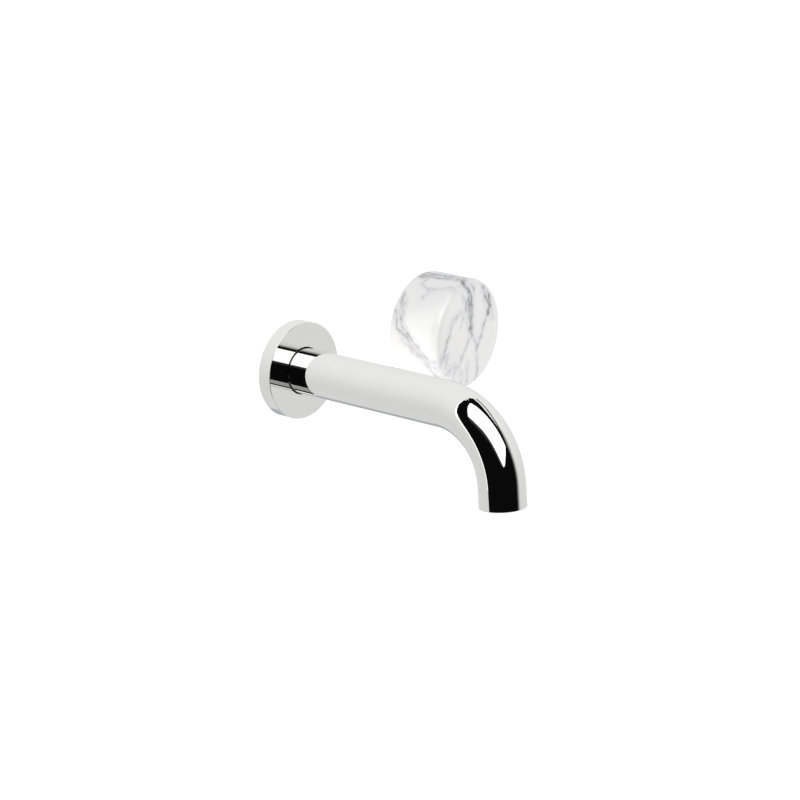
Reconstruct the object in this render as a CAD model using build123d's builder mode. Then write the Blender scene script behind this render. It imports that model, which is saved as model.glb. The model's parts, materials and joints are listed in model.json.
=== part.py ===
from build123d import *
import os
from math import cos, radians, sin, tan

# Wall mounted bath faucet: a fixed spout and, to its right, a stone control knob.
# The finished wall is the plane y = 0. The user stands on the -Y side, +X is to the
# user's right and +Z is up. The origin is the centre of the spout flange's back face.
# Every turned piece is drawn as a half section: the sketch's X is the radius and its Y
# is the distance out of the wall towards the user, so anything in the wall is negative.

# ---------------------------------------------------------------- driving dimensions

# spout
flange_radius = 30.0
flange_thickness = 9.2
flange_edge_round = 0.25
tube_radius = 14.15
tube_wall = 2.0
tube_bend_start = 122.4     # from the wall to where the bend begins
tube_bend_radius = 44.2     # on the centre line
tube_bend_angle = 85.2
tube_drop = 12.9            # straight end after the bend
tube_rear = 2.5             # gap between the wall and the tube's rear end

# knob
knob_x = 122.8
knob_z = 4.8
knob_radius = 36.0
knob_depth = 37.5           # on the axis, from the wall to the sloping front face
knob_wall_gap = 0.9
knob_front_slope = 5.5      # the front face leans, so one side of the knob is longer
knob_long_side = 160.0      # where the long side is, anticlockwise from +X seen from the front
knob_front_round = 6.0
knob_rear_round = 0.8

# threads, drawn as plain cylinders at their outer or inner diameter
half_inch_thread_radius = 10.48
tail_thread_radius = 4.5    # M10 x 1 tails of the supply hoses and of the pipe to the spout
grub_screw_radius = 2.5
fixing_screw_radius = 2.0

# fits
running_gap = 0.05
body_gap = 0.3
sliding_gap = 0.6           # between the tube and the flange that slides over it
cut_past = 1.0              # a cut runs this far past the surface that it opens

# sockets for a 2.5 mm hexagon key, in both grub screws
hexagon_key_half = 1.25
hexagon_key_depth = 2.5
grub_screw_point = 0.8

# ---------------------------------------------------------------- frames

spout_out = Plane(origin=(0, 0, 0), x_dir=(1, 0, 0), z_dir=(0, -1, 0))
knob_out = Plane(origin=(knob_x, 0, knob_z), x_dir=(1, 0, 0), z_dir=(0, -1, 0))

os.makedirs("parts", exist_ok=True)


def section(origin_x, origin_z, angle=0.0):
    """Half-section plane of a turned piece: sketch X is the radius, sketch Y the way out of the wall.
    The angle turns it about the piece's axis, anticlockwise from +X seen from the front."""
    across, up = cos(radians(angle)), sin(radians(angle))
    return Plane(origin=(origin_x, 0, origin_z), x_dir=(across, 0, up), z_dir=(up, 0, -across))


def facing_down(x, out, z=0.0):
    """Plane that looks down, for screws and holes that are reached from below."""
    return Plane(origin=(x, -out, z), x_dir=(1, 0, 0), z_dir=(0, 0, -1))


spout_section = section(0, 0)
knob_section = section(knob_x, knob_z)
spout_turning_axis = Axis((0, 0, 0), (0, -1, 0))
knob_turning_axis = Axis((knob_x, 0, knob_z), (0, -1, 0))


def ring(inner, outer, low, high):
    """Rectangle of a half section, between two radii and two distances from the wall."""
    with Locations(((inner + outer) / 2, (low + high) / 2)):
        Rectangle(outer - inner, high - low)


def cut_ring(inner, outer, low, high):
    with Locations(((inner + outer) / 2, (low + high) / 2)):
        Rectangle(outer - inner, high - low, mode=Mode.SUBTRACT)


def around(circle_radius, angles):
    """Points on a circle about the sketch's origin."""
    return [(circle_radius * cos(radians(a)), circle_radius * sin(radians(a))) for a in angles]


def save(piece, name):
    piece.part.label = name
    export_step(piece.part, f"parts/{name}.step")


# ================================================================ spout

# ---------------------------------------------------------------- flange and its seals
flange_bore = tube_radius + sliding_gap
flange_bore_round = 0.3
flange_pocket_radius = 22.0
flange_pocket_depth = 2.8
flange_seal_out = (4.4, 6.4)         # groove for the O-ring that grips the tube
flange_seal_groove_radius = tube_radius + 1.8
flange_seal_round = 0.7
gasket_radii = (25.5, 28.0)
gasket_depth = 1.2

with BuildPart() as spout_flange:
    with BuildSketch(spout_section):
        ring(flange_bore, flange_radius, 0, flange_thickness)
        cut_ring(flange_bore, flange_pocket_radius, 0, flange_pocket_depth)
        cut_ring(flange_bore, flange_seal_groove_radius, *flange_seal_out)
        cut_ring(*gasket_radii, 0, gasket_depth)
    revolve(axis=spout_turning_axis)
    front_rims = spout_flange.edges().filter_by(GeomType.CIRCLE).group_by(Axis.Y)[0]
    fillet(front_rims.sort_by(SortBy.RADIUS)[-1], flange_edge_round)
    fillet(front_rims.sort_by(SortBy.RADIUS)[0], flange_bore_round)
save(spout_flange, "spout_flange")

with BuildPart() as flange_gasket:
    with BuildSketch(spout_section):
        ring(*gasket_radii, 0, gasket_depth)
    revolve(axis=spout_turning_axis)
save(flange_gasket, "flange_gasket")

with BuildPart() as flange_o_ring:
    with BuildSketch(spout_section):
        ring(tube_radius, flange_seal_groove_radius, *flange_seal_out)
    revolve(axis=spout_turning_axis)
    fillet(flange_o_ring.edges().filter_by(GeomType.CIRCLE), flange_seal_round)
save(flange_o_ring, "flange_o_ring")

# ---------------------------------------------------------------- tube
with BuildLine(Plane.YZ) as spout_route:
    straight = Line((-tube_rear, 0), (-tube_bend_start, 0))
    bend = JernArc(straight @ 1, straight % 1, tube_bend_radius, tube_bend_angle)
    drop = Line(bend @ 1, (bend @ 1) + tube_drop * (bend % 1))

outlet_centre = drop @ 1
outlet_direction = drop % 1
outlet = Plane(origin=outlet_centre, x_dir=(1, 0, 0), z_dir=-outlet_direction)

screw_out = 14.0            # the grub screw's distance from the wall
aerator_thread_radius = 12.4
aerator_seat_depth = 10.4
outlet_rim_round = 0.4

with BuildPart() as spout_tube:
    with BuildSketch(spout_out.offset(tube_rear)):
        Circle(tube_radius)
        Circle(tube_radius - tube_wall, mode=Mode.SUBTRACT)
    sweep(path=spout_route.wire())
    # counterbore that the aerator screws into
    with BuildSketch(outlet):
        Circle(aerator_thread_radius)
    extrude(amount=aerator_seat_depth, mode=Mode.SUBTRACT)
    # threaded hole for the grub screw, from below
    with BuildSketch(facing_down(0, screw_out)):
        Circle(grub_screw_radius)
    extrude(amount=tube_radius + cut_past, mode=Mode.SUBTRACT)
    outlet_rims = spout_tube.edges().filter_by(GeomType.CIRCLE).sort_by_distance(outlet_centre)[:2]
    fillet(outlet_rims, outlet_rim_round)
save(spout_tube, "spout_tube")

# ---------------------------------------------------------------- rear connection
spigot_radius = 9.0
sleeve_bore = spigot_radius + running_gap
sleeve_end = 26.0
spigot_end = 24.0
nipple_waterway = 6.5
nipple_in_wall = 15.0
nipple_collar_radius = 12.4
nipple_collar = 2.0
seal_grooves = ((5.0, 7.0), (18.5, 20.5))
seal_groove_radius = 7.6
nipple_seal_round = 0.5
thread_lead_in = 0.9
screw_seat_radius = 8.0
screw_seat_half_width = 2.8
grub_screw_inset = 0.6      # below the tube's surface

with BuildPart() as inlet_sleeve:
    with BuildSketch(spout_section):
        ring(sleeve_bore, tube_radius - tube_wall, tube_rear, sleeve_end)
    revolve(axis=spout_turning_axis)
    with BuildSketch(facing_down(0, screw_out)):
        Circle(grub_screw_radius)
    extrude(amount=tube_radius, mode=Mode.SUBTRACT)
save(inlet_sleeve, "inlet_sleeve")

with BuildPart() as wall_nipple:
    with BuildSketch(spout_section):
        ring(nipple_waterway, half_inch_thread_radius, -nipple_in_wall, 0)
        ring(nipple_waterway, spigot_radius, 0, spigot_end)
        for groove in seal_grooves:
            cut_ring(seal_groove_radius, spigot_radius, *groove)
        cut_ring(
            screw_seat_radius,
            spigot_radius,
            screw_out - screw_seat_half_width,
            screw_out + screw_seat_half_width,
        )
    revolve(axis=spout_turning_axis)
    # hexagon for the fitting spanner, hidden in the flange's pocket
    with BuildSketch(spout_out):
        RegularPolygon(nipple_collar_radius, 6)
        Circle(nipple_waterway, mode=Mode.SUBTRACT)
    extrude(amount=nipple_collar)
    wall_end = wall_nipple.edges().filter_by(GeomType.CIRCLE).group_by(Axis.Y)[-1]
    chamfer(wall_end.sort_by(SortBy.RADIUS)[-1], thread_lead_in)
save(wall_nipple, "wall_nipple")

with BuildPart() as nipple_o_rings:
    with BuildSketch(spout_section):
        for groove in seal_grooves:
            ring(seal_groove_radius, sleeve_bore, *groove)
    revolve(axis=spout_turning_axis)
    fillet(nipple_o_rings.edges().filter_by(GeomType.CIRCLE), nipple_seal_round)
save(nipple_o_rings, "nipple_o_rings")

with BuildPart() as spout_grub_screw:
    with BuildSketch(facing_down(0, screw_out, -screw_seat_radius)):
        Circle(grub_screw_radius)
    extrude(amount=tube_radius - screw_seat_radius - grub_screw_inset)
    chamfer(spout_grub_screw.edges().group_by(Axis.Z)[-1], grub_screw_point)
    with BuildSketch(spout_grub_screw.faces().sort_by(Axis.Z)[0]):
        RegularPolygon(hexagon_key_half, 6, major_radius=False)
    extrude(amount=-hexagon_key_depth, mode=Mode.SUBTRACT)
save(spout_grub_screw, "spout_grub_screw")

# ---------------------------------------------------------------- aerator
# Measured up from the outlet, along the end of the tube.
aerator_recess = 0.8
aerator_height = 8.0
aerator_lip_radius = 10.0
aerator_bore = 10.9
aerator_lip = 1.2
key_slot = (2.4, 2.2)
key_slot_depth = 0.8
insert_height = 5.2
mesh_thickness = 0.4
jet_hole_radius = 0.75
jet_hole_spacing = 2.6
jet_hole_limit = 8.6        # no hole's centre is further out
mesh_hole = 1.0
mesh_pitch = 1.55
mesh_rows = 11
mesh_hole_limit = 9.1


def hexagon_grid(pitch, limit):
    """Centres of a triangular grid that lie within a radius."""
    rows = int(limit / (pitch * sin(radians(60)))) + 1
    centres = []
    for row in range(-rows, rows + 1):
        for column in range(-rows - 1, rows + 2):
            x = pitch * (column + 0.5 * (row % 2))
            y = pitch * sin(radians(60)) * row
            if x * x + y * y < limit * limit:
                centres.append((x, y))
    return centres


with BuildPart() as aerator_housing:
    with BuildSketch(outlet.offset(aerator_recess)):
        Circle(aerator_thread_radius)
        Circle(aerator_lip_radius, mode=Mode.SUBTRACT)
    extrude(amount=aerator_height)
    with BuildSketch(outlet.offset(aerator_recess + aerator_lip)):
        Circle(aerator_bore)
    extrude(amount=aerator_height, mode=Mode.SUBTRACT)
    # two slots for the aerator key
    with BuildSketch(outlet.offset(aerator_recess)):
        with PolarLocations(aerator_thread_radius, 2):
            Rectangle(*key_slot)
    extrude(amount=key_slot_depth, mode=Mode.SUBTRACT)
save(aerator_housing, "aerator_housing")

insert_base = aerator_recess + aerator_lip
with BuildPart() as aerator_insert:
    with BuildSketch(outlet.offset(insert_base + mesh_thickness)):
        Circle(aerator_bore)
        with Locations(hexagon_grid(jet_hole_spacing, jet_hole_limit)):
            Circle(jet_hole_radius, mode=Mode.SUBTRACT)
    extrude(amount=insert_height)
save(aerator_insert, "aerator_insert")

with BuildPart() as aerator_mesh:
    with BuildSketch(outlet.offset(insert_base)):
        Circle(aerator_bore)
        with GridLocations(mesh_pitch, mesh_pitch, mesh_rows, mesh_rows) as grid:
            inside = [place for place in grid.local_locations if place.position.length < mesh_hole_limit]
        with Locations(inside):
            Rectangle(mesh_hole, mesh_hole, mode=Mode.SUBTRACT)
    extrude(amount=mesh_thickness)
save(aerator_mesh, "aerator_mesh")

with BuildPart() as aerator_seal:
    with BuildSketch(outlet.offset(aerator_recess + aerator_height)):
        Circle(aerator_thread_radius)
        Circle(aerator_lip_radius, mode=Mode.SUBTRACT)
    extrude(amount=aerator_seat_depth - aerator_recess - aerator_height)
save(aerator_seal, "aerator_seal")

# ================================================================ control

# ---------------------------------------------------------------- mixer body in the wall
plate_radius = 27.0
plate_thickness = 4.0
boss_radius = 15.5
boss_end = 9.0
shank_radius = 15.5
shank_depth = 16.0
chamber_radius = 12.6
chamber_floor = -4.0        # inside the wall
port_radius = 2.8
port_circle = 6.0
tail_circle = 8.5
tail_depth = 9.0
fixing_circle = 21.0
fixing_hole_radius = 2.3
countersink_radius = 4.0
plate_gasket_radii = (23.9, 25.4)
port_angles = (90, 210, 330)
fixing_angles = (30, 150, 270)

with BuildPart() as mixer_body:
    with BuildSketch(knob_section):
        ring(0, plate_radius, 0, plate_thickness)
        ring(0, boss_radius, plate_thickness, boss_end)
        ring(0, shank_radius, -shank_depth, 0)
        cut_ring(0, chamber_radius, chamber_floor, boss_end)
        cut_ring(*plate_gasket_radii, 0, gasket_depth)
    revolve(axis=knob_turning_axis)
    # ports from the chamber down to the hose threads, which are open at the back
    with BuildSketch(knob_out.offset(-shank_depth)):
        with Locations(around(tail_circle, port_angles)):
            Circle(tail_thread_radius)
    extrude(amount=tail_depth, mode=Mode.SUBTRACT)
    with BuildSketch(knob_out.offset(tail_depth - shank_depth)):
        with Locations(around(port_circle, port_angles)):
            Circle(port_radius)
    extrude(amount=chamber_floor - (tail_depth - shank_depth), mode=Mode.SUBTRACT)
    # countersunk holes for the fixing screws
    with Locations(knob_out.offset(plate_thickness)):
        with Locations(around(fixing_circle, fixing_angles)):
            CounterSinkHole(fixing_hole_radius, countersink_radius, depth=plate_thickness)
save(mixer_body, "mixer_body")

with BuildPart() as plate_gasket:
    with BuildSketch(knob_section):
        ring(*plate_gasket_radii, 0, gasket_depth)
    revolve(axis=knob_turning_axis)
save(plate_gasket, "plate_gasket")

screw_in_wall = 10.0
screw_thread_end = -0.4     # the neck above it is thinner than the thread
screw_neck_radius = 1.7
screw_head_radius = 3.6
screw_head_height = 1.8
screw_head_top = 3.7
driver_recess = (4.0, 0.9)
driver_recess_depth = 1.3

with BuildPart() as fixing_screws:
    with BuildSketch(knob_out.offset(-screw_in_wall)):
        with Locations(around(fixing_circle, fixing_angles)):
            Circle(fixing_screw_radius)
    extrude(amount=screw_thread_end + screw_in_wall)
    with BuildSketch(knob_out.offset(screw_thread_end)):
        with Locations(around(fixing_circle, fixing_angles)):
            Circle(screw_neck_radius)
    extrude(amount=screw_head_top - 0.5 * screw_head_height - screw_thread_end)
    with Locations(knob_out.offset(screw_head_top - 0.5 * screw_head_height)):
        with Locations(around(fixing_circle, fixing_angles)):
            Cone(fixing_screw_radius, screw_head_radius, screw_head_height)
    # cross recess for the driver
    with BuildSketch(knob_out.offset(screw_head_top)):
        with Locations(around(fixing_circle, fixing_angles)):
            Rectangle(*driver_recess)
            Rectangle(*reversed(driver_recess))
    extrude(amount=-driver_recess_depth, mode=Mode.SUBTRACT)
save(fixing_screws, "fixing_screws")

# ---------------------------------------------------------------- cartridge
housing_radius = 12.5
housing_bore = 10.8
housing_shoulder_radius = 14.8
housing_shoulder = (boss_end, 11.0)
housing_neck_radius = 10.0
housing_neck_end = 16.0
housing_ceiling = 8.0
housing_foot = -3.0
spindle_radius = 6.0
spindle_flange_radius = 8.0     # keeps the spindle in the housing
spindle_flange_high = 7.9
spindle_shoulder = 16.5
moving_disc_radius = 10.4
fixed_disc_radius = 10.6
base_seal_high = -1.6
fixed_disc_high = 0.9
moving_disc_high = 3.6
carrier_high = 6.4
spline_end = 27.5
spline_root = 3.6
spline_tip = 4.0
spline_count = 20
spline_width = 0.6
spline_sunk = 0.2           # each spline starts this far inside the root
cartridge_seal = (0.5, 2.3)
cartridge_seal_groove = 11.6
cartridge_seal_round = 0.3
spindle_seal = (11.6, 13.4)
spindle_seal_groove = 4.6
spindle_seal_round = 0.5
channel_arc = (60, 130)     # start and length, in degrees
channel_depth = 1.5
tongue = (11.0, 4.0)

with BuildPart() as cartridge_housing:
    with BuildSketch(knob_section):
        ring(0, housing_radius, housing_foot, boss_end)
        ring(0, housing_shoulder_radius, *housing_shoulder)
        ring(0, housing_neck_radius, boss_end, housing_neck_end)
        cut_ring(0, housing_bore, housing_foot, housing_ceiling)
        cut_ring(0, spindle_radius + running_gap, housing_ceiling, housing_neck_end)
        cut_ring(cartridge_seal_groove, housing_radius, *cartridge_seal)
    revolve(axis=knob_turning_axis)
save(cartridge_housing, "cartridge_housing")

with BuildPart() as cartridge_o_ring:
    with BuildSketch(knob_section):
        ring(cartridge_seal_groove, chamber_radius, *cartridge_seal)
    revolve(axis=knob_turning_axis)
    fillet(cartridge_o_ring.edges().filter_by(GeomType.CIRCLE), cartridge_seal_round)
save(cartridge_o_ring, "cartridge_o_ring")

with BuildPart() as base_seal:
    with BuildSketch(knob_out.offset(chamber_floor)):
        Circle(fixed_disc_radius)
        with Locations(around(port_circle, port_angles)):
            Circle(port_radius, mode=Mode.SUBTRACT)
    extrude(amount=base_seal_high - chamber_floor)
save(base_seal, "base_seal")

with BuildPart() as fixed_disc:
    with BuildSketch(knob_out.offset(base_seal_high)):
        Circle(fixed_disc_radius)
        with Locations(around(port_circle, port_angles)):
            Circle(port_radius, mode=Mode.SUBTRACT)
    extrude(amount=fixed_disc_high - base_seal_high)
save(fixed_disc, "fixed_disc")

with BuildPart() as moving_disc:
    with BuildSketch(knob_out.offset(fixed_disc_high)):
        Circle(moving_disc_radius)
    extrude(amount=moving_disc_high - fixed_disc_high)
    # curved channel in the lower face that joins the inlets to the outlet
    with BuildSketch(knob_out.offset(fixed_disc_high)):
        SlotArc(CenterArc((0, 0), port_circle, *channel_arc), 2 * port_radius)
    extrude(amount=channel_depth, mode=Mode.SUBTRACT)
save(moving_disc, "moving_disc")

with BuildPart() as disc_carrier:
    with BuildSketch(knob_out.offset(moving_disc_high)):
        Circle(moving_disc_radius)
        Rectangle(*tongue, mode=Mode.SUBTRACT)
    extrude(amount=carrier_high - moving_disc_high)
save(disc_carrier, "disc_carrier")

with BuildPart() as spindle:
    with BuildSketch(knob_section):
        ring(0, spindle_radius, carrier_high, spindle_shoulder)
        ring(0, spindle_flange_radius, carrier_high, spindle_flange_high)
        cut_ring(spindle_seal_groove, spindle_radius, *spindle_seal)
    revolve(axis=knob_turning_axis)
    # tongue that turns the disc carrier
    with BuildSketch(knob_out.offset(moving_disc_high)):
        Rectangle(*tongue)
    extrude(amount=carrier_high - moving_disc_high)
    # splined end
    with BuildSketch(knob_out.offset(spindle_shoulder)):
        Circle(spline_root)
        with PolarLocations((spline_root + spline_tip - spline_sunk) / 2, spline_count):
            Rectangle(spline_tip - spline_root + spline_sunk, spline_width)
    extrude(amount=spline_end - spindle_shoulder)
save(spindle, "spindle")

with BuildPart() as spindle_o_ring:
    with BuildSketch(knob_section):
        ring(spindle_seal_groove, spindle_radius, *spindle_seal)
    revolve(axis=knob_turning_axis)
    fillet(spindle_o_ring.edges().filter_by(GeomType.CIRCLE), spindle_seal_round)
save(spindle_o_ring, "spindle_o_ring")

# ---------------------------------------------------------------- nut and stop ring
nut_radius = 18.0
nut_low = 4.6
nut_high = 12.6
nut_lip_radius = 11.5

with BuildPart() as cartridge_nut:
    with BuildSketch(knob_out.offset(nut_low)):
        RegularPolygon(nut_radius, 6)
    extrude(amount=nut_high - nut_low)
    with BuildSketch(knob_out.offset(nut_low)):
        Circle(boss_radius)
    extrude(amount=housing_shoulder[1] - nut_low, mode=Mode.SUBTRACT)
    with BuildSketch(knob_out.offset(nut_low)):
        Circle(nut_lip_radius)
    extrude(amount=nut_high - nut_low, mode=Mode.SUBTRACT)
save(cartridge_nut, "cartridge_nut")

# The knob is off at rest and turns anticlockwise to full hot. The stop ring's lug and the
# hub's lug meet at each end of the travel.
knob_travel = 110.0
stop_clearance = 4.0
hub_lug_angle = 60.0
stop_lug_angle = 360.0 - knob_travel - hub_lug_angle - 2 * stop_clearance
hub_lug_start = 60.0        # anticlockwise from +X, at rest
stop_lug_start = hub_lug_start - stop_clearance - stop_lug_angle
lug_radii = (11.0, 14.5)
stop_ring_low = 12.8
stop_ring_high = 14.6
stop_lug_high = 17.6
stop_ring_radius = 14.5

with BuildPart() as stop_ring:
    with BuildSketch(knob_out.offset(stop_ring_low)):
        Circle(stop_ring_radius)
        Circle(housing_neck_radius, mode=Mode.SUBTRACT)
    extrude(amount=stop_ring_high - stop_ring_low)
    with BuildSketch(section(knob_x, knob_z, stop_lug_start)):
        ring(*lug_radii, stop_ring_low, stop_lug_high)
    revolve(axis=knob_turning_axis, revolution_arc=stop_lug_angle)
save(stop_ring, "stop_ring")

# ---------------------------------------------------------------- knob, hub and glide ring
hub_radius = 20.0
hub_low = 18.4
hub_high = 30.0
hub_skirt_low = 8.0
hub_skirt_inner = 18.6
recess_radius = 30.0
recess_end = 6.5
glide_inner = plate_radius
glide_outer = recess_radius - body_gap
hub_lug_low = 15.0
hub_lug_high = 19.4         # its root is inside the hub
hub_screw_out = 23.0
hub_screw_length = 10.0
access_hole_radius = 2.8

front_lean = tan(radians(knob_front_slope))
front_plane = Plane(
    origin=(knob_x, -knob_depth, knob_z),
    z_dir=(-front_lean * cos(radians(knob_long_side)), -1, -front_lean * sin(radians(knob_long_side))),
)

with BuildPart() as marble_knob:
    with BuildSketch(knob_out.offset(knob_wall_gap)):
        Circle(knob_radius)
    extrude(amount=knob_depth + knob_radius)
    split(bisect_by=front_plane, keep=Keep.BOTTOM)
    front_rim = marble_knob.faces().sort_by(Axis.Y)[0].edges()
    fillet(front_rim, knob_front_round)
    rear_rim = marble_knob.faces().sort_by(Axis.Y)[-1].edges()
    fillet(rear_rim, knob_rear_round)
    with BuildSketch(knob_out.offset(knob_wall_gap)):
        Circle(recess_radius)
    extrude(amount=recess_end - knob_wall_gap, mode=Mode.SUBTRACT)
    with BuildSketch(knob_out.offset(knob_wall_gap)):
        Circle(hub_radius)
    extrude(amount=hub_high - knob_wall_gap, mode=Mode.SUBTRACT)
    # access hole for the hub's grub screw, from below
    with BuildSketch(facing_down(knob_x, hub_screw_out, knob_z)):
        Circle(access_hole_radius)
    extrude(amount=knob_radius + cut_past, mode=Mode.SUBTRACT)
save(marble_knob, "marble_knob")

with BuildPart() as knob_hub:
    with BuildSketch(knob_section):
        ring(spline_tip + running_gap, hub_radius, hub_low, hub_high)
        ring(0, hub_radius, spline_end + body_gap, hub_high)
        ring(hub_skirt_inner, hub_radius, hub_skirt_low, hub_low)
    revolve(axis=knob_turning_axis)
    with BuildSketch(section(knob_x, knob_z, hub_lug_start)):
        ring(*lug_radii, hub_lug_low, hub_lug_high)
    revolve(axis=knob_turning_axis, revolution_arc=hub_lug_angle)
    with BuildSketch(facing_down(knob_x, hub_screw_out, knob_z)):
        Circle(grub_screw_radius)
    extrude(amount=hub_radius + cut_past, mode=Mode.SUBTRACT)
save(knob_hub, "knob_hub")

hub_screw_tip = knob_z - spline_tip - running_gap
with BuildPart() as hub_grub_screw:
    with BuildSketch(facing_down(knob_x, hub_screw_out, hub_screw_tip)):
        Circle(grub_screw_radius)
    extrude(amount=hub_screw_length)
    chamfer(hub_grub_screw.edges().group_by(Axis.Z)[-1], grub_screw_point)
    with BuildSketch(hub_grub_screw.faces().sort_by(Axis.Z)[0]):
        RegularPolygon(hexagon_key_half, 6, major_radius=False)
    extrude(amount=-hexagon_key_depth, mode=Mode.SUBTRACT)
save(hub_grub_screw, "hub_grub_screw")

with BuildPart() as glide_ring:
    with BuildSketch(knob_section):
        ring(glide_inner, glide_outer, knob_wall_gap, plate_thickness)
    revolve(axis=knob_turning_axis)
save(glide_ring, "glide_ring")
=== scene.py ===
"""Looks of the wall mounted bath faucet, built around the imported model. Metres, same frame as the model:
the wall is y = 0, the user stands on the -Y side, +X is to the user's right and +Z is up."""

import json
from math import cos, radians, sin

import bmesh
import bpy
from mathutils import Matrix, Vector


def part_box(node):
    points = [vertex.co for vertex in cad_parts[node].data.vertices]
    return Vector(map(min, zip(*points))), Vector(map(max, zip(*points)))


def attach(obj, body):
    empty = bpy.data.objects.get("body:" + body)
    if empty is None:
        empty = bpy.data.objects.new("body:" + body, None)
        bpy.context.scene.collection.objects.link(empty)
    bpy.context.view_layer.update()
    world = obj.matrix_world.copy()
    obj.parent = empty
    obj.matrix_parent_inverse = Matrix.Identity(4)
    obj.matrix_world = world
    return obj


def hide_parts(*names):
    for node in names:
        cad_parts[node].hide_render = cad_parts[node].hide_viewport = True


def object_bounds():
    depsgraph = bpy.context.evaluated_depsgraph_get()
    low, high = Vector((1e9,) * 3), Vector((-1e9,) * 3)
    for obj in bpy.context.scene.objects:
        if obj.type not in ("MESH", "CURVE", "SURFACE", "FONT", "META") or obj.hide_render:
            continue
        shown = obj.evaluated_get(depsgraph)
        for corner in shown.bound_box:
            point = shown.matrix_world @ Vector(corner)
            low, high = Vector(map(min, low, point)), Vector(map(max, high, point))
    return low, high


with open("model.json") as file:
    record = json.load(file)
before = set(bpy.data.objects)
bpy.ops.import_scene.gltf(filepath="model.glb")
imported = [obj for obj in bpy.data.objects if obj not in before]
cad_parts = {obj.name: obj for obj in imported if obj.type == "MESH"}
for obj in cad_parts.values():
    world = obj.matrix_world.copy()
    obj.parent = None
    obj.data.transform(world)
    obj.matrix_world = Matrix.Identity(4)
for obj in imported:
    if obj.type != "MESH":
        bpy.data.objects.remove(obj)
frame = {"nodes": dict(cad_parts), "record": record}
cad_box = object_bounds()
nodes = frame["nodes"]

# ---------------------------------------------------------------- places, from the frame
MM = 1000.0     # millimetres in a metre
low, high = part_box("marble_knob")
KNOB_AXIS = Vector(((low.x + high.x) / 2, 0, (low.z + high.z) / 2))
KNOB_RADIUS = (high.x - low.x) / 2
SPOUT_AXIS = Vector((0, 0, 0))
CENTRE = (Vector(cad_box[0]) + Vector(cad_box[1])) / 2


def heading(azimuth, elevation):
    """Unit vector from the object: azimuth 0 is towards the user and 90 is to the user's right."""
    az, el = radians(azimuth), radians(elevation)
    return Vector((sin(az) * cos(el), -cos(az) * cos(el), sin(el)))


# ---------------------------------------------------------------- node helpers
class Nodes:
    """Short calls for building one material's nodes."""

    def __init__(self, name):
        self.material = bpy.data.materials.new(name)
        self.material.use_nodes = True
        self.tree = self.material.node_tree
        self.tree.nodes.clear()

    def add(self, kind, values=(), **settings):
        node = self.tree.nodes.new(kind)
        for key, value in settings.items():
            setattr(node, key, value)
        for key, value in dict(values).items():
            if isinstance(value, bpy.types.NodeSocket):
                self.tree.links.new(value, node.inputs[key])
            else:
                node.inputs[key].default_value = value
        return node

    def maths(self, operation, a, b=0.0, c=0.0):
        return self.add("ShaderNodeMath", {0: a, 1: b, 2: c}, operation=operation).outputs[0]

    def vector(self, operation, a, b=(0, 0, 0), out="Vector"):
        return self.add("ShaderNodeVectorMath", {0: a, 1: b}, operation=operation).outputs[out]

    def scaled(self, vector, factor):
        values = {0: vector, "Scale": factor}
        return self.add("ShaderNodeVectorMath", values, operation="SCALE").outputs[0]

    def place(self):
        return self.add("ShaderNodeTexCoord").outputs["Object"]

    def noise(self, vector, scale, detail=2.0, roughness=0.5, distortion=0.0, out="Fac"):
        values = {"Scale": scale, "Detail": detail, "Roughness": roughness, "Distortion": distortion}
        node = self.add("ShaderNodeTexNoise", values)
        self.tree.links.new(vector, node.inputs["Vector"])
        return node.outputs[out]

    def span(self, value, given, wanted=(0.0, 1.0), smooth=False):
        """Carries a value from the given range to the wanted one, and holds it at the ends."""
        values = {"Value": value, "From Min": given[0], "From Max": given[1],
                  "To Min": wanted[0], "To Max": wanted[1]}
        kind = "SMOOTHSTEP" if smooth else "LINEAR"
        return self.add("ShaderNodeMapRange", values, interpolation_type=kind).outputs["Result"]

    def blend(self, factor, colour, other):
        """Goes from the colour to the other as the factor rises. Inputs 6 and 7 are the colours."""
        return self.add("ShaderNodeMix", {0: factor, 6: colour, 7: other}, data_type="RGBA").outputs[2]

    def bump(self, height, strength, distance):
        values = {"Height": height, "Strength": strength, "Distance": distance}
        return self.add("ShaderNodeBump", values).outputs[0]

    def finish(self, shader):
        output = self.add("ShaderNodeOutputMaterial")
        self.tree.links.new(shader, output.inputs["Surface"])
        return self.material

    def principled(self, **values):
        sockets = {key.replace("_", " "): value for key, value in values.items()}
        return self.add("ShaderNodeBsdfPrincipled", sockets).outputs[0]


def grey(value):
    return (value, value, value, 1.0)


# ---------------------------------------------------------------- materials
def chrome():
    """Polished chrome with slight smears along the spout."""
    n = Nodes("polished_chrome")
    place = n.place()
    cloud = n.noise(place, scale=60.0, detail=3.0)
    drawn_out = n.vector("MULTIPLY", place, (300.0, 60.0, 300.0))
    smear = n.noise(drawn_out, scale=1.0, detail=4.0)
    cloudy = n.span(cloud, (0.3, 0.7), (0.012, 0.03))
    smeared = n.span(smear, (0.35, 0.7), (0.0, 0.012))
    roughness = n.maths("ADD", cloudy, smeared)
    colour = n.blend(cloud, (0.765, 0.77, 0.765, 1), (0.79, 0.79, 0.78, 1))
    ripple = n.noise(place, scale=90.0, detail=1.0)
    normal = n.bump(ripple, strength=0.02, distance=0.0004)
    return n.finish(n.principled(Base_Color=colour, Metallic=1.0, Roughness=roughness, Normal=normal))


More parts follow.
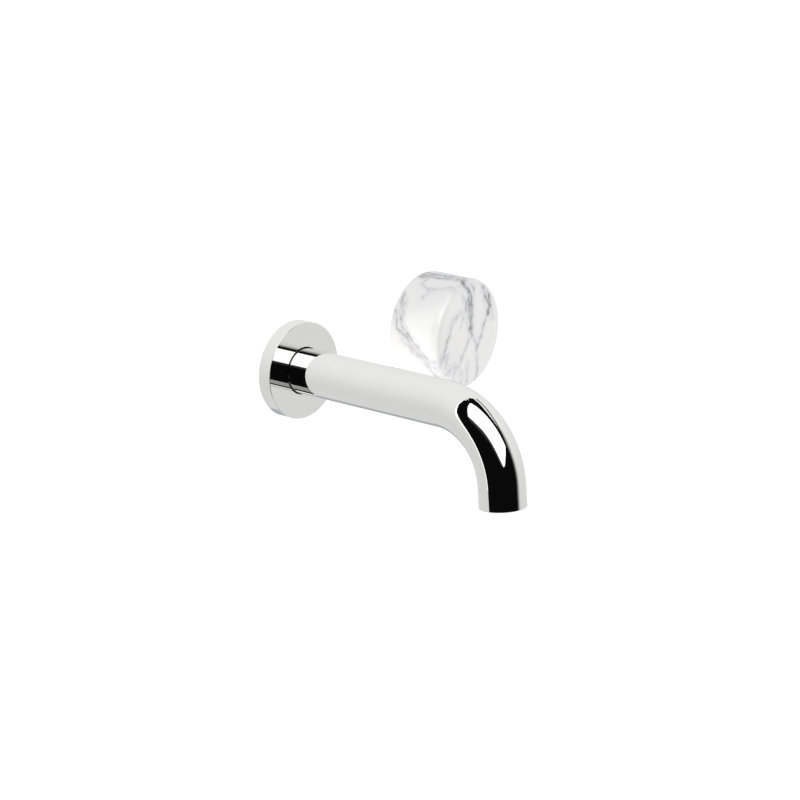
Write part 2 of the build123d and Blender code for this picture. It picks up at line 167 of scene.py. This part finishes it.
def turned_metal(name, colour, axis, least_roughness):
    """Machined metal with fine turning lines around an axis that stands out of the wall."""
    n = Nodes(name)
    place = n.place()
    from_axis = n.vector("SUBTRACT", place, axis)
    across = n.vector("LENGTH", n.vector("MULTIPLY", from_axis, (1, 0, 1)), out="Value")
    depth = n.add("ShaderNodeSeparateXYZ", {0: from_axis}).outputs["Y"]
    lines = n.add("ShaderNodeCombineXYZ", {0: across, 1: depth}).outputs[0]
    groove = n.noise(lines, scale=4200.0, detail=2.0)
    cloud = n.noise(place, scale=140.0, detail=3.0)
    tone = n.span(n.maths("ADD", groove, cloud), (0.6, 1.4), (0.82, 1.08))
    tinted = n.add("ShaderNodeHueSaturation", {"Color": colour, "Value": tone}).outputs[0]
    roughness = n.span(groove, (0.25, 0.75), (least_roughness, least_roughness + 0.14))
    normal = n.bump(groove, strength=0.25, distance=0.00004)
    return n.finish(n.principled(Base_Color=tinted, Metallic=1.0, Roughness=roughness, Normal=normal))


def rubber():
    """Black rubber with a fine matt grain."""
    n = Nodes("black_rubber")
    place = n.place()
    grain = n.noise(place, scale=2500.0, detail=3.0)
    cloud = n.noise(place, scale=120.0, detail=2.0)
    colour = n.blend(cloud, grey(0.018), grey(0.035))
    return n.finish(n.principled(
        Base_Color=colour,
        Roughness=n.span(grain, (0.3, 0.7), (0.55, 0.75)),
        Normal=n.bump(grain, strength=0.3, distance=0.00005),
    ))


def moulded_plastic(name, dark, light):
    """Moulded acetal with faint flow marks."""
    n = Nodes(name)
    place = n.place()
    grain = n.noise(place, scale=1800.0, detail=3.0)
    flow = n.noise(place, scale=90.0, detail=4.0, distortion=0.8)
    return n.finish(n.principled(
        Base_Color=n.blend(flow, dark, light),
        Roughness=n.span(grain, (0.3, 0.7), (0.34, 0.5)),
        Normal=n.bump(grain, strength=0.2, distance=0.00003),
        IOR=1.5,
    ))


def lapped_ceramic():
    """Alumina of the cartridge's discs, ground flat."""
    n = Nodes("alumina_ceramic")
    place = n.place()
    speck = n.noise(place, scale=1500.0, detail=4.0)
    cloud = n.noise(place, scale=200.0, detail=2.0)
    return n.finish(n.principled(
        Base_Color=n.blend(cloud, (0.80, 0.78, 0.72, 1), (0.87, 0.86, 0.82, 1)),
        Roughness=n.span(speck, (0.3, 0.7), (0.1, 0.2)),
        Normal=n.bump(speck, strength=0.1, distance=0.00002),
    ))


# Veins of the knob's front face: half width in mm, then points across and up from its axis, in mm. A half
# width of zero or less makes a faint vein.
FACE_VEINS = (
    (1.5, ((-5, 36), (-3.5, 31), (-1, 25))),
    (1.9, ((-1, 25), (0, 17))),
    (2.4, ((0, 17), (0.5, 10), (1.5, 4))),
    (0.6, ((1.5, 4), (4, 0))),
    (0.1, ((4, 0), (9, -11), (9.5, -25), (9, -40))),
    (0.0, ((-1, 36), (3, 30), (2.5, 25), (0, 20))),
    (0.2, ((-4, 25), (-4.5, 17), (-1, 12))),
    (-0.2, ((-9, 28), (-6, 19), (-6, 13), (-9, 8))),
    (0.8, ((14, 36), (15, 29), (20, 22))),
    (1.5, ((20, 22), (21, 15), (20, 10))),
    (0.4, ((20, 10), (15, 3), (12, -6), (8, -11))),
    (0.8, ((13, 28), (16, 22), (20, 17))),
    (0.0, ((22, 18), (24.5, 12), (24.5, 6))),
    (0.5, ((-10, 16), (-14, 15), (-19, 12), (-22, 5))),
    (0.9, ((-22, 5), (-25, -1), (-26, -6))),
    (0.5, ((-26, -6), (-30, -15))),
    (0.1, ((-24, -8), (-24, -16))),
    (0.1, ((4, 0), (-1, -3), (-2, -7), (-6, -10), (-7, -14), (-10, -18), (-16, -20))),
    (0.0, ((-12, -18), (-18, -18), (-22, -21))),
    (0.0, ((-14, -21), (-16, -28))),
    (0.0, ((-7, -23), (-9, -34))),
    (-0.2, ((-1.5, -20), (-1, -34))),
)
# Veins of its side: half width in mm, then degrees from the top towards the user's left, and mm from the
# wall.
SIDE_VEINS = (
    (2.7, ((-14, -2), (-10, 10), (-4, 24))),
    (1.4, ((-4, 24), (4, 38))),
    (3.6, ((8, -4), (5, 12))),
    (2.5, ((5, 12), (2, 24), (7, 40))),
    (0.9, ((15, 2), (13, 12), (9, 22), (8, 32))),
    (0.1, ((26, 12), (32, 21), (38, 22), (44, 20))),
    (0.0, ((25, 12), (22, 10), (17, 12))),
    (0.0, ((32, 21), (29, 28), (25, 36))),
    (0.0, ((42, 2), (52, 5), (60, 7))),
    (0.5, ((44, 3), (64, 8), (82, 13), (94, 23), (105, 32), (114, 38))),
    (0.7, ((60, 2), (80, 8), (93, 18), (105, 26), (119, 31), (134, 35))),
    (0.4, ((54, 8), (76, 11), (90, 20), (101, 28), (112, 33))),
    (0.1, ((90, 12), (104, 22), (118, 36))),
    (0.6, ((-30, 0), (-36, 12), (-42, 26), (-54, 38))),
    (0.1, ((-42, 26), (-60, 20), (-76, 24), (-92, 24))),
    (1.2, ((-70, 0), (-84, 10), (-92, 24), (-108, 38))),
    (0.4, ((-84, 10), (-104, 12), (-124, 4))),
    (0.1, ((-92, 24), (-96, 32), (-92, 40))),
    (0.8, ((-130, 38), (-142, 22), (-150, 8), (-156, 0))),
    (0.2, ((-142, 22), (-124, 18), (-108, 22))),
    (0.3, ((-156, 0), (-166, 14), (-170, 26), (-164, 38))),
)
SIDE_VEIN_DARKNESS = 0.75           # how dark the left side's veins are, beside the others
SIDE_VEINS_FADE = (30, 60)          # degrees from the top between which they turn that much lighter
# The pattern's measures, in mm. A pair is the two ends of a change.
VEIN_SHIFT = 9.0                    # the most that noise moves a vein, from one side to the other
VEIN_SWELL = 0.7                    # how much noise widens and narrows it
VEIN_EDGE = 0.5                     # half the width of its soft edge
HALO_REACH = 4.2                    # how far the grey around it reaches
FACE_TO_SIDE = (33.5, 35.5)         # radius where the side's veins take over from the face's
BROWN_STARTS = (-6.0, -12.0)        # place across the knob where the veins turn brown in patches
# Painted light: the left side's stone is painted lighter between two slanting lines, for the light that falls
# there. A line's pair is in degrees from the top, to which its slope times the mm out of the wall is added
# first.
DEGREES = 57.3                      # degrees in a radian, nearly
PAINTED_LIGHT_STARTS, PAINTED_LIGHT_START_SLOPE = (62.0, 98.0), 0.9
PAINTED_LIGHT_ENDS, PAINTED_LIGHT_END_SLOPE = (62.0, 46.0), -1.67
PAINTED_LIGHT_RADIUS = (32.8, 34.0)         # radius in mm where the painted light begins, outside the face
STREAKS_ACROSS, STREAKS_ALONG = 1.1, 0.16           # scales of the threads' noise across and along a vein
WARM_STONE, COOL_STONE = (0.88, 0.873, 0.867, 1), (0.84, 0.84, 0.843, 1)
# The first colour here is painted light: the near white of the left side where light falls on it.
PAINTED_LIGHT_COLOUR, WISP = (1.0, 0.995, 0.99, 1), (0.55, 0.55, 0.60, 1)
GREY_VEIN, BROWN_VEIN = (0.19, 0.195, 0.22, 1), (0.40, 0.36, 0.28, 1)


def vein_distance(n, place, veins):
    """Distance in mm from a place to the edge of the nearest vein, below zero inside it."""
    nearest = None
    for half_width, route in veins:
        for start, end in zip(route, route[1:]):
            along = Vector((*end, 0)) - Vector((*start, 0))
            offset = n.vector("SUBTRACT", place, (*start, 0))
            share = n.vector("DOT_PRODUCT", offset, along / along.length_squared, out="Value")
            share = n.add("ShaderNodeClamp", {"Value": share}).outputs[0]
            foot = n.scaled(along, share)
            distance = n.maths("SUBTRACT", n.vector("DISTANCE", offset, foot, out="Value"), half_width)
            nearest = distance if nearest is None else n.maths("MINIMUM", nearest, distance)
    return nearest


def painted_light_share(n, from_top, depth, radius):
    """Share of painted light. The side that faces left is painted lighter near the front, as far as its
    veins, for the light that falls there.
    """
    after_start = n.maths("MULTIPLY_ADD", from_top, DEGREES, n.maths("MULTIPLY", depth, PAINTED_LIGHT_START_SLOPE))
    before_end = n.maths("MULTIPLY_ADD", from_top, DEGREES, n.maths("MULTIPLY", depth, PAINTED_LIGHT_END_SLOPE))
    started = n.span(after_start, PAINTED_LIGHT_STARTS, smooth=True)
    not_ended = n.span(before_end, PAINTED_LIGHT_ENDS, smooth=True)
    between = n.maths("MULTIPLY", started, not_ended)
    return n.maths("MULTIPLY", between, n.span(radius, PAINTED_LIGHT_RADIUS, smooth=True))


def marble():
    """White marble. Its veins follow routes, and noise makes them wander, break up and change width. Light on
    its left side is painted in as a lighter patch.
    """
    n = Nodes("veined_marble")
    from_axis = n.scaled(n.vector("SUBTRACT", n.place(), KNOB_AXIS), MM)
    wander = n.noise(from_axis, scale=0.11, detail=4.0, roughness=0.62, out="Color")
    shift = n.vector("MULTIPLY", n.vector("SUBTRACT", wander, (0.5, 0.5, 0.5)), (VEIN_SHIFT,) * 3)
    place = n.add("ShaderNodeSeparateXYZ", {0: n.vector("ADD", from_axis, shift)})
    across = place.outputs["X"]
    depth = n.maths("MULTIPLY", place.outputs["Y"], -1.0)
    up = place.outputs["Z"]
    from_top = n.maths("ARCTAN2", n.maths("MULTIPLY", across, -1.0), up)
    arc = n.maths("MULTIPLY", from_top, MM * KNOB_RADIUS)
    radius = n.vector("LENGTH", n.vector("MULTIPLY", from_axis, (1, 0, 1)), out="Value")

    face_place = n.add("ShaderNodeCombineXYZ", {0: across, 1: up}).outputs[0]
    side_place = n.add("ShaderNodeCombineXYZ", {0: arc, 1: depth}).outputs[0]
    degree = radians(1.0) * MM * KNOB_RADIUS
    side_veins = [(half, [(angle * degree, out) for angle, out in route]) for half, route in SIDE_VEINS]
    on_face = vein_distance(n, face_place, FACE_VEINS)
    on_side = vein_distance(n, side_place, side_veins)
    side_share = n.span(radius, FACE_TO_SIDE)
    distance = n.add("ShaderNodeMix", {0: side_share, 2: on_face, 3: on_side}).outputs[0]
    patch = n.noise(from_axis, scale=0.25, detail=3.0, roughness=0.6)
    grain = n.noise(from_axis, scale=1.1, detail=3.0, roughness=0.6)
    distance = n.maths("ADD", distance, n.span(patch, (0.3, 0.7), (-VEIN_SWELL, VEIN_SWELL)))

    # threads that run along a vein: the noise changes quickly across it and slowly along it
    across_vein = n.add("ShaderNodeCombineXYZ", {0: n.maths("MULTIPLY", distance, STREAKS_ACROSS)}).outputs[0]
    along_vein = n.vector("MULTIPLY", from_axis, (STREAKS_ALONG,) * 3)
    streaks = n.vector("ADD", across_vein, along_vein)
    threads = n.noise(streaks, scale=1.0, detail=3.0, roughness=0.6)
    core = n.span(distance, (VEIN_EDGE, -VEIN_EDGE), smooth=True)
    core = n.maths("MULTIPLY", core, n.span(threads, (0.42, 0.58), (0.35, 1.0)))
    core = n.maths("MULTIPLY", core, n.span(grain, (0.3, 0.6), (0.5, 1.0)))
    fade = [radians(angle) for angle in SIDE_VEINS_FADE]
    core = n.maths("MULTIPLY", core, n.span(from_top, fade, (1.0, SIDE_VEIN_DARKNESS)))
    halo = n.span(distance, (HALO_REACH, -VEIN_EDGE), smooth=True)
    wisps = n.maths("MULTIPLY", halo, n.span(threads, (0.35, 0.6), (0.15, 0.6)))

    cloud = n.noise(from_axis, scale=0.05, detail=5.0, roughness=0.6, distortion=0.6)
    stone = n.blend(n.span(cloud, (0.35, 0.7)), WARM_STONE, COOL_STONE)
    # painted light: near the front, the left side is blended towards near white for the light that falls
    # there
    clear = painted_light_share(n, from_top, depth, radius)
    stone = n.blend(clear, stone, PAINTED_LIGHT_COLOUR)
    stone = n.blend(wisps, stone, WISP)
    rust = n.span(n.noise(from_axis, scale=0.16, detail=2.0), (0.40, 0.50))
    brown = n.maths("MULTIPLY", rust, n.span(across, BROWN_STARTS))
    vein = n.blend(brown, GREY_VEIN, BROWN_VEIN)
    colour = n.blend(core, stone, vein)
    return n.finish(n.principled(
        Base_Color=colour,
        Roughness=n.span(grain, (0.3, 0.7), (0.14, 0.22)),
        Coat_Weight=0.5,
        Coat_Roughness=0.08,
    ))


BRASS, BRASS_ROUGHNESS = (0.78, 0.60, 0.30, 1), 0.2
STEEL, STEEL_ROUGHNESS = (0.60, 0.60, 0.61, 1), 0.22
finishes = {
    "chrome": chrome(),
    "marble": marble(),
    "brass": turned_metal("turned_brass", BRASS, KNOB_AXIS, BRASS_ROUGHNESS),
    "steel": turned_metal("turned_steel", STEEL, KNOB_AXIS, STEEL_ROUGHNESS),
    "rubber": rubber(),
    "white_plastic": moulded_plastic("white_acetal", grey(0.78), grey(0.84)),
    "grey_plastic": moulded_plastic("grey_acetal", grey(0.33), grey(0.40)),
    "alumina": lapped_ceramic(),
}
for part in frame["record"]["subparts"]:
    mesh = nodes[part["node"]].data
    mesh.materials.clear()
    mesh.materials.append(finishes[part["material_slot"]])

# ---------------------------------------------------------------- threads
# The model's threads are plain cylinders. These two pieces stand for their nodes, with real threads.
# A turned piece is drawn as rings about an axis that stands out of the wall. Each ring is its distance
# out of the wall in mm, below zero inside it, and its radius in mm at an angle from +X, as the user sees it.
THREAD_STEPS = 12       # rings in one pitch
NIPPLE_STEPS = 96       # corners of the nipple's rings
SCREW_STEPS = 48        # corners of a screw's rings
SHARP_ANGLE = radians(32)
TINY = 1e-6             # stands for zero where a number is divided by it


def even(radius):
    """Round ring."""
    return lambda angle: radius


def hexagon(corner_radius):
    """Six-sided ring."""
    flat_radius = corner_radius * cos(radians(30))
    return lambda angle: flat_radius / cos(angle % radians(60) - radians(30))


def cross(half_length, half_width):
    """Ring in the shape of a cross, for the recess of a screw's head."""
    def radius(angle):
        along = max(abs(cos(angle)), TINY)
        across = max(abs(sin(angle)), TINY)
        level_arm = min(half_length / along, half_width / across)
        upright_arm = min(half_length / across, half_width / along)
        return max(level_arm, upright_arm)
    return radius


def thread(start, end, crest, pitch, depth, lead_in):
    """Rings of a right-hand thread. It starts with a chamfer and runs out over its last turn."""
    count = round((end - start) / pitch * THREAD_STEPS)

    def ring(out):
        def radius(angle):
            turns = out / pitch - angle / radians(360)
            groove = depth * abs(2 * (turns % 1.0) - 1)
            run_out = min(1.0, (end - out) / pitch)
            chamfer = crest - lead_in + out - start
            return min(crest - groove * run_out, chamfer)
        return out, radius
    return [ring(start + (end - start) * index / count) for index in range(count + 1)]


def turned_rings(shape, rings, axis, steps, closed):
    """Adds a turned piece. A closed one has a bore, and its last ring joins its first."""
    angles = [radians(360) * step / steps for step in range(steps)]
    rows = []
    for out, radius in rings:
        corners = [Vector((radius(angle) * cos(angle), -out, radius(angle) * sin(angle))) for angle in angles]
        rows.append([shape.verts.new(axis + corner / MM) for corner in corners])
    pairs = list(zip(rows, rows[1:]))
    if closed:
        pairs.append((rows[-1], rows[0]))
    for row, following in pairs:
        for step in range(steps):
            ahead = (step + 1) % steps
            shape.faces.new((row[step], row[ahead], following[ahead], following[step]))
    if not closed:
        shape.faces.new(rows[0])
        shape.faces.new(rows[-1])


def threaded_piece(name, shape, material):
    """Piece fixed to the wall, with its edges kept sharp."""
    bmesh.ops.recalc_face_normals(shape, faces=shape.faces[:])
    mesh = bpy.data.meshes.new(name)
    shape.to_mesh(mesh)
    shape.free()
    mesh.shade_smooth()
    mesh.set_sharp_from_angle(angle=SHARP_ANGLE)
    mesh.materials.append(material)
    piece = bpy.data.objects.new(name, mesh)
    bpy.context.scene.collection.objects.link(piece)
    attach(piece, "wall_parts")
    return piece


# wall nipple, in mm: its thread, its hexagon collar, and the spigot that the spout's sleeve slides over
BORE, SPIGOT, SEAL_GROOVE, SCREW_SEAT, COLLAR = even(6.5), even(9.0), even(7.6), even(8.0), hexagon(12.4)
NIPPLE_REAR, COLLAR_REAR, COLLAR_FRONT, NIPPLE_FRONT = -15.0, 0.0, 2.0, 24.0
NIPPLE_GROOVES = ((5.0, 7.0, SEAL_GROOVE), (11.2, 16.8, SCREW_SEAT), (18.5, 20.5, SEAL_GROOVE))
nipple_rings = thread(NIPPLE_REAR, COLLAR_REAR, crest=10.48, pitch=1.814, depth=1.16, lead_in=0.9)
nipple_rings += [(COLLAR_REAR, COLLAR), (COLLAR_FRONT, COLLAR), (COLLAR_FRONT, SPIGOT)]
for start, end, groove in NIPPLE_GROOVES:
    nipple_rings += [(start, SPIGOT), (start, groove), (end, groove), (end, SPIGOT)]
nipple_rings += [(NIPPLE_FRONT, SPIGOT), (NIPPLE_FRONT, BORE), (NIPPLE_REAR, BORE)]
nipple_shape = bmesh.new()
turned_rings(nipple_shape, nipple_rings, SPOUT_AXIS, NIPPLE_STEPS, closed=True)
spout_brass = turned_metal("turned_spout_brass", BRASS, SPOUT_AXIS, BRASS_ROUGHNESS)
nipple = threaded_piece("threaded_nipple", nipple_shape, spout_brass)
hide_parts("wall_nipple")

# fixing screws of the mixer body, in mm: thread, shank, and a countersunk head with a cross recess
SHANK, HEAD, HEAD_NECK, RECESS = even(1.7), even(3.6), even(2.0), cross(2.0, 0.45)
SCREW_TIP, SHANK_REAR, HEAD_REAR, RECESS_FLOOR, HEAD_FRONT = -10.0, -0.4, 1.9, 2.4, 3.7
FIXING_RADIUS = 21.0                # of the circle that the screws stand on, about the knob's axis
FIXING_ANGLES = (30, 150, 270)      # degrees round it from +X, as the user sees it
screw_rings = thread(SCREW_TIP, SHANK_REAR, crest=2.0, pitch=0.7, depth=0.43, lead_in=0.3)
screw_rings += [(SHANK_REAR, SHANK), (HEAD_REAR, SHANK), (HEAD_REAR, HEAD_NECK), (HEAD_FRONT, HEAD)]
screw_rings += [(HEAD_FRONT, RECESS), (RECESS_FLOOR, RECESS)]
screw_shape = bmesh.new()
for angle in FIXING_ANGLES:
    place = Vector((cos(radians(angle)), 0, sin(radians(angle)))) * FIXING_RADIUS / MM
    turned_rings(screw_shape, screw_rings, KNOB_AXIS + place, SCREW_STEPS, closed=False)
screws = threaded_piece("threaded_fixing_screws", screw_shape, finishes["steel"])
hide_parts("fixing_screws")

# ---------------------------------------------------------------- studio
# A white tent around the object, with cards in front of it. Reflections see them; cameras see only the floor.
FLOOR_DROP = 0.7
FLOOR_RADIUS = 60.0
FLOOR_SEGMENTS = 128
TENT_RADIUS = 4.6
TENT_SEGMENTS, TENT_RINGS = 64, 32
TENT_STRENGTH = 1.03
TENT_FOOT, TENT_TOP = 0.80, 1.0                             # brightness of the cloth at its ends
TENT_STOPS = ((0.30, 0.79), (0.50, 0.855), (0.65, 0.915))   # share of the height, brightness
TENT_TOP_STARTS = 0.88                                      # share of the height where the top's begins
DIM_HEADING = (145, -38)                                    # azimuth and elevation of the dim part
DIM_EDGE = (0.95, 0.99)                                     # cosines of the angles at its soft edge
BLACK, BRIGHT = 0.004, 1.8                                  # how strongly the cards glow
# distances of the cards from the object: a nearer one hides those behind it
BACK_LAYER, ZENITH_LAYER, SHADE_LAYER, EDGE_LAYER, FRONT_LAYER = 4.3, 4.25, 4.2, 4.1, 4.0
FILL_LAYER = 3.7
PANEL_CUTS = 4              # times that a card's edges are halved, so that it can curve
GAUZE_START = 20            # azimuth where the gauze begins to thin out
GAUZE_END_LOW = 42          # azimuth where its lower part is clear
GAUZE_END_HIGH = 55         # azimuth where its upper part is clear
GAUZE_WIDENS = (20, 40)     # elevations between which one turns into the other


def stage_object(name, mesh, material):
    """Object of the studio, which isn't part of the faucet."""
    mesh.materials.append(material)
    staged = bpy.data.objects.new(name, mesh)
    bpy.context.scene.collection.objects.link(staged)
    return staged


def glow(name, strength):
    """Card that glows evenly."""
    n = Nodes(name)
    return n.finish(n.add("ShaderNodeEmission", {"Strength": strength}).outputs[0])


def tent_cloth():
    """Lit cloth that is brighter overhead than below, and dim low behind the wall on the knob's side."""
    n = Nodes("tent_cloth")
    direction = n.vector("NORMALIZE", n.place())
    height = n.add("ShaderNodeSeparateXYZ", {0: direction}).outputs["Z"]
    ramp = n.add("ShaderNodeValToRGB", {0: n.span(height, (-1.0, 1.0))})
    stops = ramp.color_ramp.elements
    for position, brightness in TENT_STOPS:
        stops.new(position).color = grey(brightness)
    stops[0].color = grey(TENT_FOOT)
    stops[-1].position = TENT_TOP_STARTS
    stops[-1].color = grey(TENT_TOP)
    towards_dim = n.vector("DOT_PRODUCT", direction, heading(*DIM_HEADING), out="Value")
    dim = n.span(towards_dim, DIM_EDGE, smooth=True)
    colour = n.blend(dim, ramp.outputs[0], (0.46, 0.47, 0.51, 1))
    return n.finish(n.add("ShaderNodeEmission", {"Color": colour, "Strength": TENT_STRENGTH}).outputs[0])


def gauze(name, strength):
    """Gauze that thins out from its left edge to its right, over a wider stretch near the top."""
    n = Nodes(name)
    direction = n.vector("NORMALIZE", n.vector("SUBTRACT", n.place(), CENTRE))
    place = n.add("ShaderNodeSeparateXYZ", {0: direction})
    azimuth = n.maths("ARCTAN2", place.outputs["X"], n.maths("MULTIPLY", place.outputs["Y"], -1.0))
    heights = [sin(radians(elevation)) for elevation in GAUZE_WIDENS]
    ends = (radians(GAUZE_END_LOW), radians(GAUZE_END_HIGH))
    end = n.span(place.outputs["Z"], heights, ends, smooth=True)
    thinness = n.span(azimuth, (radians(GAUZE_START), end), smooth=True)
    glowing = n.add("ShaderNodeEmission", {"Strength": strength}).outputs[0]
    clear = n.add("ShaderNodeBsdfTransparent").outputs[0]
    return n.finish(n.add("ShaderNodeMixShader", {0: thinness, 1: glowing, 2: clear}).outputs[0])


def card(name, outline, material, distance):
    """Card from its corners' azimuths and elevations, as seen from the object."""
    shape = bmesh.new()
    flat = [shape.verts.new((azimuth, elevation, 0)) for azimuth, elevation in outline]
    bmesh.ops.triangulate(shape, faces=[shape.faces.new(flat)])
    for _ in range(PANEL_CUTS):
        bmesh.ops.subdivide_edges(shape, edges=shape.edges[:], cuts=1, use_grid_fill=True)
    for vertex in shape.verts:
        vertex.co = CENTRE + distance * heading(vertex.co.x, vertex.co.y)
    mesh = bpy.data.meshes.new(name)
    shape.to_mesh(mesh)
    shape.free()
    placed = stage_object(name, mesh, material)
    placed.visible_camera = False
    return placed


def light_tent():
    shell = bmesh.new()
    bmesh.ops.create_uvsphere(shell, u_segments=TENT_SEGMENTS, v_segments=TENT_RINGS, radius=TENT_RADIUS)
    mesh = bpy.data.meshes.new("light_tent")
    shell.to_mesh(mesh)
    shell.free()
    tent = stage_object("light_tent", mesh, tent_cloth())
    tent.location = CENTRE
    tent.visible_camera = False


def pale_floor():
    n = Nodes("pale_floor")
    tone = n.blend(n.noise(n.place(), scale=3.0, detail=4.0), grey(0.93), grey(0.95))
    return n.finish(n.principled(
        Base_Color=tone,
        Roughness=0.9,
        Specular_IOR_Level=0.0,
        Emission_Color=grey(1.0),
        Emission_Strength=0.25,
    ))


def studio_floor():
    finish = pale_floor()
    disc = bmesh.new()
    bmesh.ops.create_circle(disc, cap_ends=True, radius=FLOOR_RADIUS, segments=FLOOR_SEGMENTS)
    mesh = bpy.data.meshes.new("studio_floor")
    disc.to_mesh(mesh)
    disc.free()
    floor = stage_object("studio_floor", mesh, finish)
    floor.location = (CENTRE.x, CENTRE.y, CENTRE.z - FLOOR_DROP)
    floor.visible_glossy = False
    floor.visible_diffuse = False


light_tent()

# Cards that are mirrored in the chrome but don't light the stone. Corners are in degrees.
black = glow("black_card", BLACK)
bright = glow("softbox_front", BRIGHT)
for name, distance, finish, outline in (
    ("front_card", BACK_LAYER, black, [
        (-117, -17), (-114, -46), (-24, -46), (-17, -41), (16, -41), (20, -13), (22, 30), (18, 50),
        (18, 90), (-130, 90), (-130, 85), (-120, 80), (-112, 74), (-108, 66), (-107, 58), (-107, 40),
    ]),
    ("zenith_card", ZENITH_LAYER, black, [(-180, 85.7), (180, 85.7), (180, 90), (-180, 90)]),
    ("right_card", BACK_LAYER, black, [
        (18, 30), (25, 34), (31, 42), (38, 52), (46, 60), (60, 64), (98, 65), (103, 73), (114, 80),
        (114, 90), (18, 90),
    ]),
    ("right_shade", SHADE_LAYER, glow("right_shade", 0.22), [
        (25, 34), (36, 40), (46, 46), (62, 51), (98, 52), (98, 58), (60, 57), (46, 53), (38, 50), (31, 42),
    ]),
    ("front_card_edge", EDGE_LAYER, gauze("thinning_edge", BLACK), [
        (16, -41), (70, -41), (70, 49), (16, 50),
    ]),
    ("softbox", FRONT_LAYER, bright, [
        (-92, 38.5), (-68, 38), (-60, 36), (-50, 30), (-40, 21), (-32, 14), (-28, 12), (-22, 14),
        (-10, 22), (4, 29), (13, 32), (13, 58), (20, 70), (24, 82), (0, 87.5), (-70, 86), (-83, 77),
        (-88, 64),
    ]),
    ("softbox_edge", EDGE_LAYER, glow("softbox_edge", 0.04), [
        (-94, 30), (-75, 30), (-60, 27), (-38, 12), (-30, 10), (-30, 20), (-60, 42), (-94, 42),
    ]),
    ("edge_strip", EDGE_LAYER, bright, [
        (-117, -17), (-110, 20), (-107, 40), (-107, 58), (-108, 66), (-112, 74), (-120, 80),
        (-121.5, 79.4), (-113.3, 73.3), (-109.3, 66), (-108.2, 58), (-108, 40), (-111.6, 20),
        (-119.5, -17),
    ]),
    ("low_card", SHADE_LAYER, glow("low_card", 0.45), [(-24, -50), (-17, -41), (8, -41), (8, -50)]),
    ("low_line", EDGE_LAYER, black, [(6, -50), (8, -41), (18, -40), (22, -47)]),
    ("low_glow", EDGE_LAYER, bright, [(23, -47), (20, -40), (27, -33), (31, -38)]),
):
    card(name, outline, finish, distance).visible_diffuse = False

# Fills that light the stone but aren't mirrored in the chrome. Their numbers are strengths.
for name, strength, outline in (
    ("left_fill", 2.65, [(-138, -62), (-52, -62), (-52, 5), (-138, 5)]),
    ("front_fill", 1.08, [(-60, -50), (60, -50), (60, 40), (-60, 40)]),
    ("overhead_shade", 0.62, [(-180, 46), (180, 46), (180, 86), (-180, 86)]),
):
    card(name, outline, glow(name, strength), FILL_LAYER).visible_glossy = False

studio_floor()

world = bpy.data.worlds.new("white_studio")
bpy.context.scene.world = world
world.use_nodes = True
background = world.node_tree.nodes["Background"]
background.inputs["Color"].default_value = grey(1.0)
background.inputs["Strength"].default_value = 1.0

# ---------------------------------------------------------------- camera
CAMERA_TARGET = Vector((0.03542, -0.05612, -0.01724))
CAMERA_DISTANCE = 1.496
CAMERA_AZIMUTH = -48.19
CAMERA_ELEVATION = 15.37
CAMERA_ROLL = 0.08
LENS = 110.08

camera = bpy.data.objects.new("camera", bpy.data.cameras.new("camera"))
camera.data.lens = LENS
camera.location = CAMERA_TARGET + CAMERA_DISTANCE * heading(CAMERA_AZIMUTH, CAMERA_ELEVATION)
look = (CAMERA_TARGET - camera.location).to_track_quat("-Z", "Y").to_matrix()
camera.rotation_euler = (look @ Matrix.Rotation(radians(CAMERA_ROLL), 3, "Z")).to_euler()
bpy.context.scene.collection.objects.link(camera)
bpy.context.scene.camera = camera
bpy.context.scene.view_settings.view_transform = "Standard"
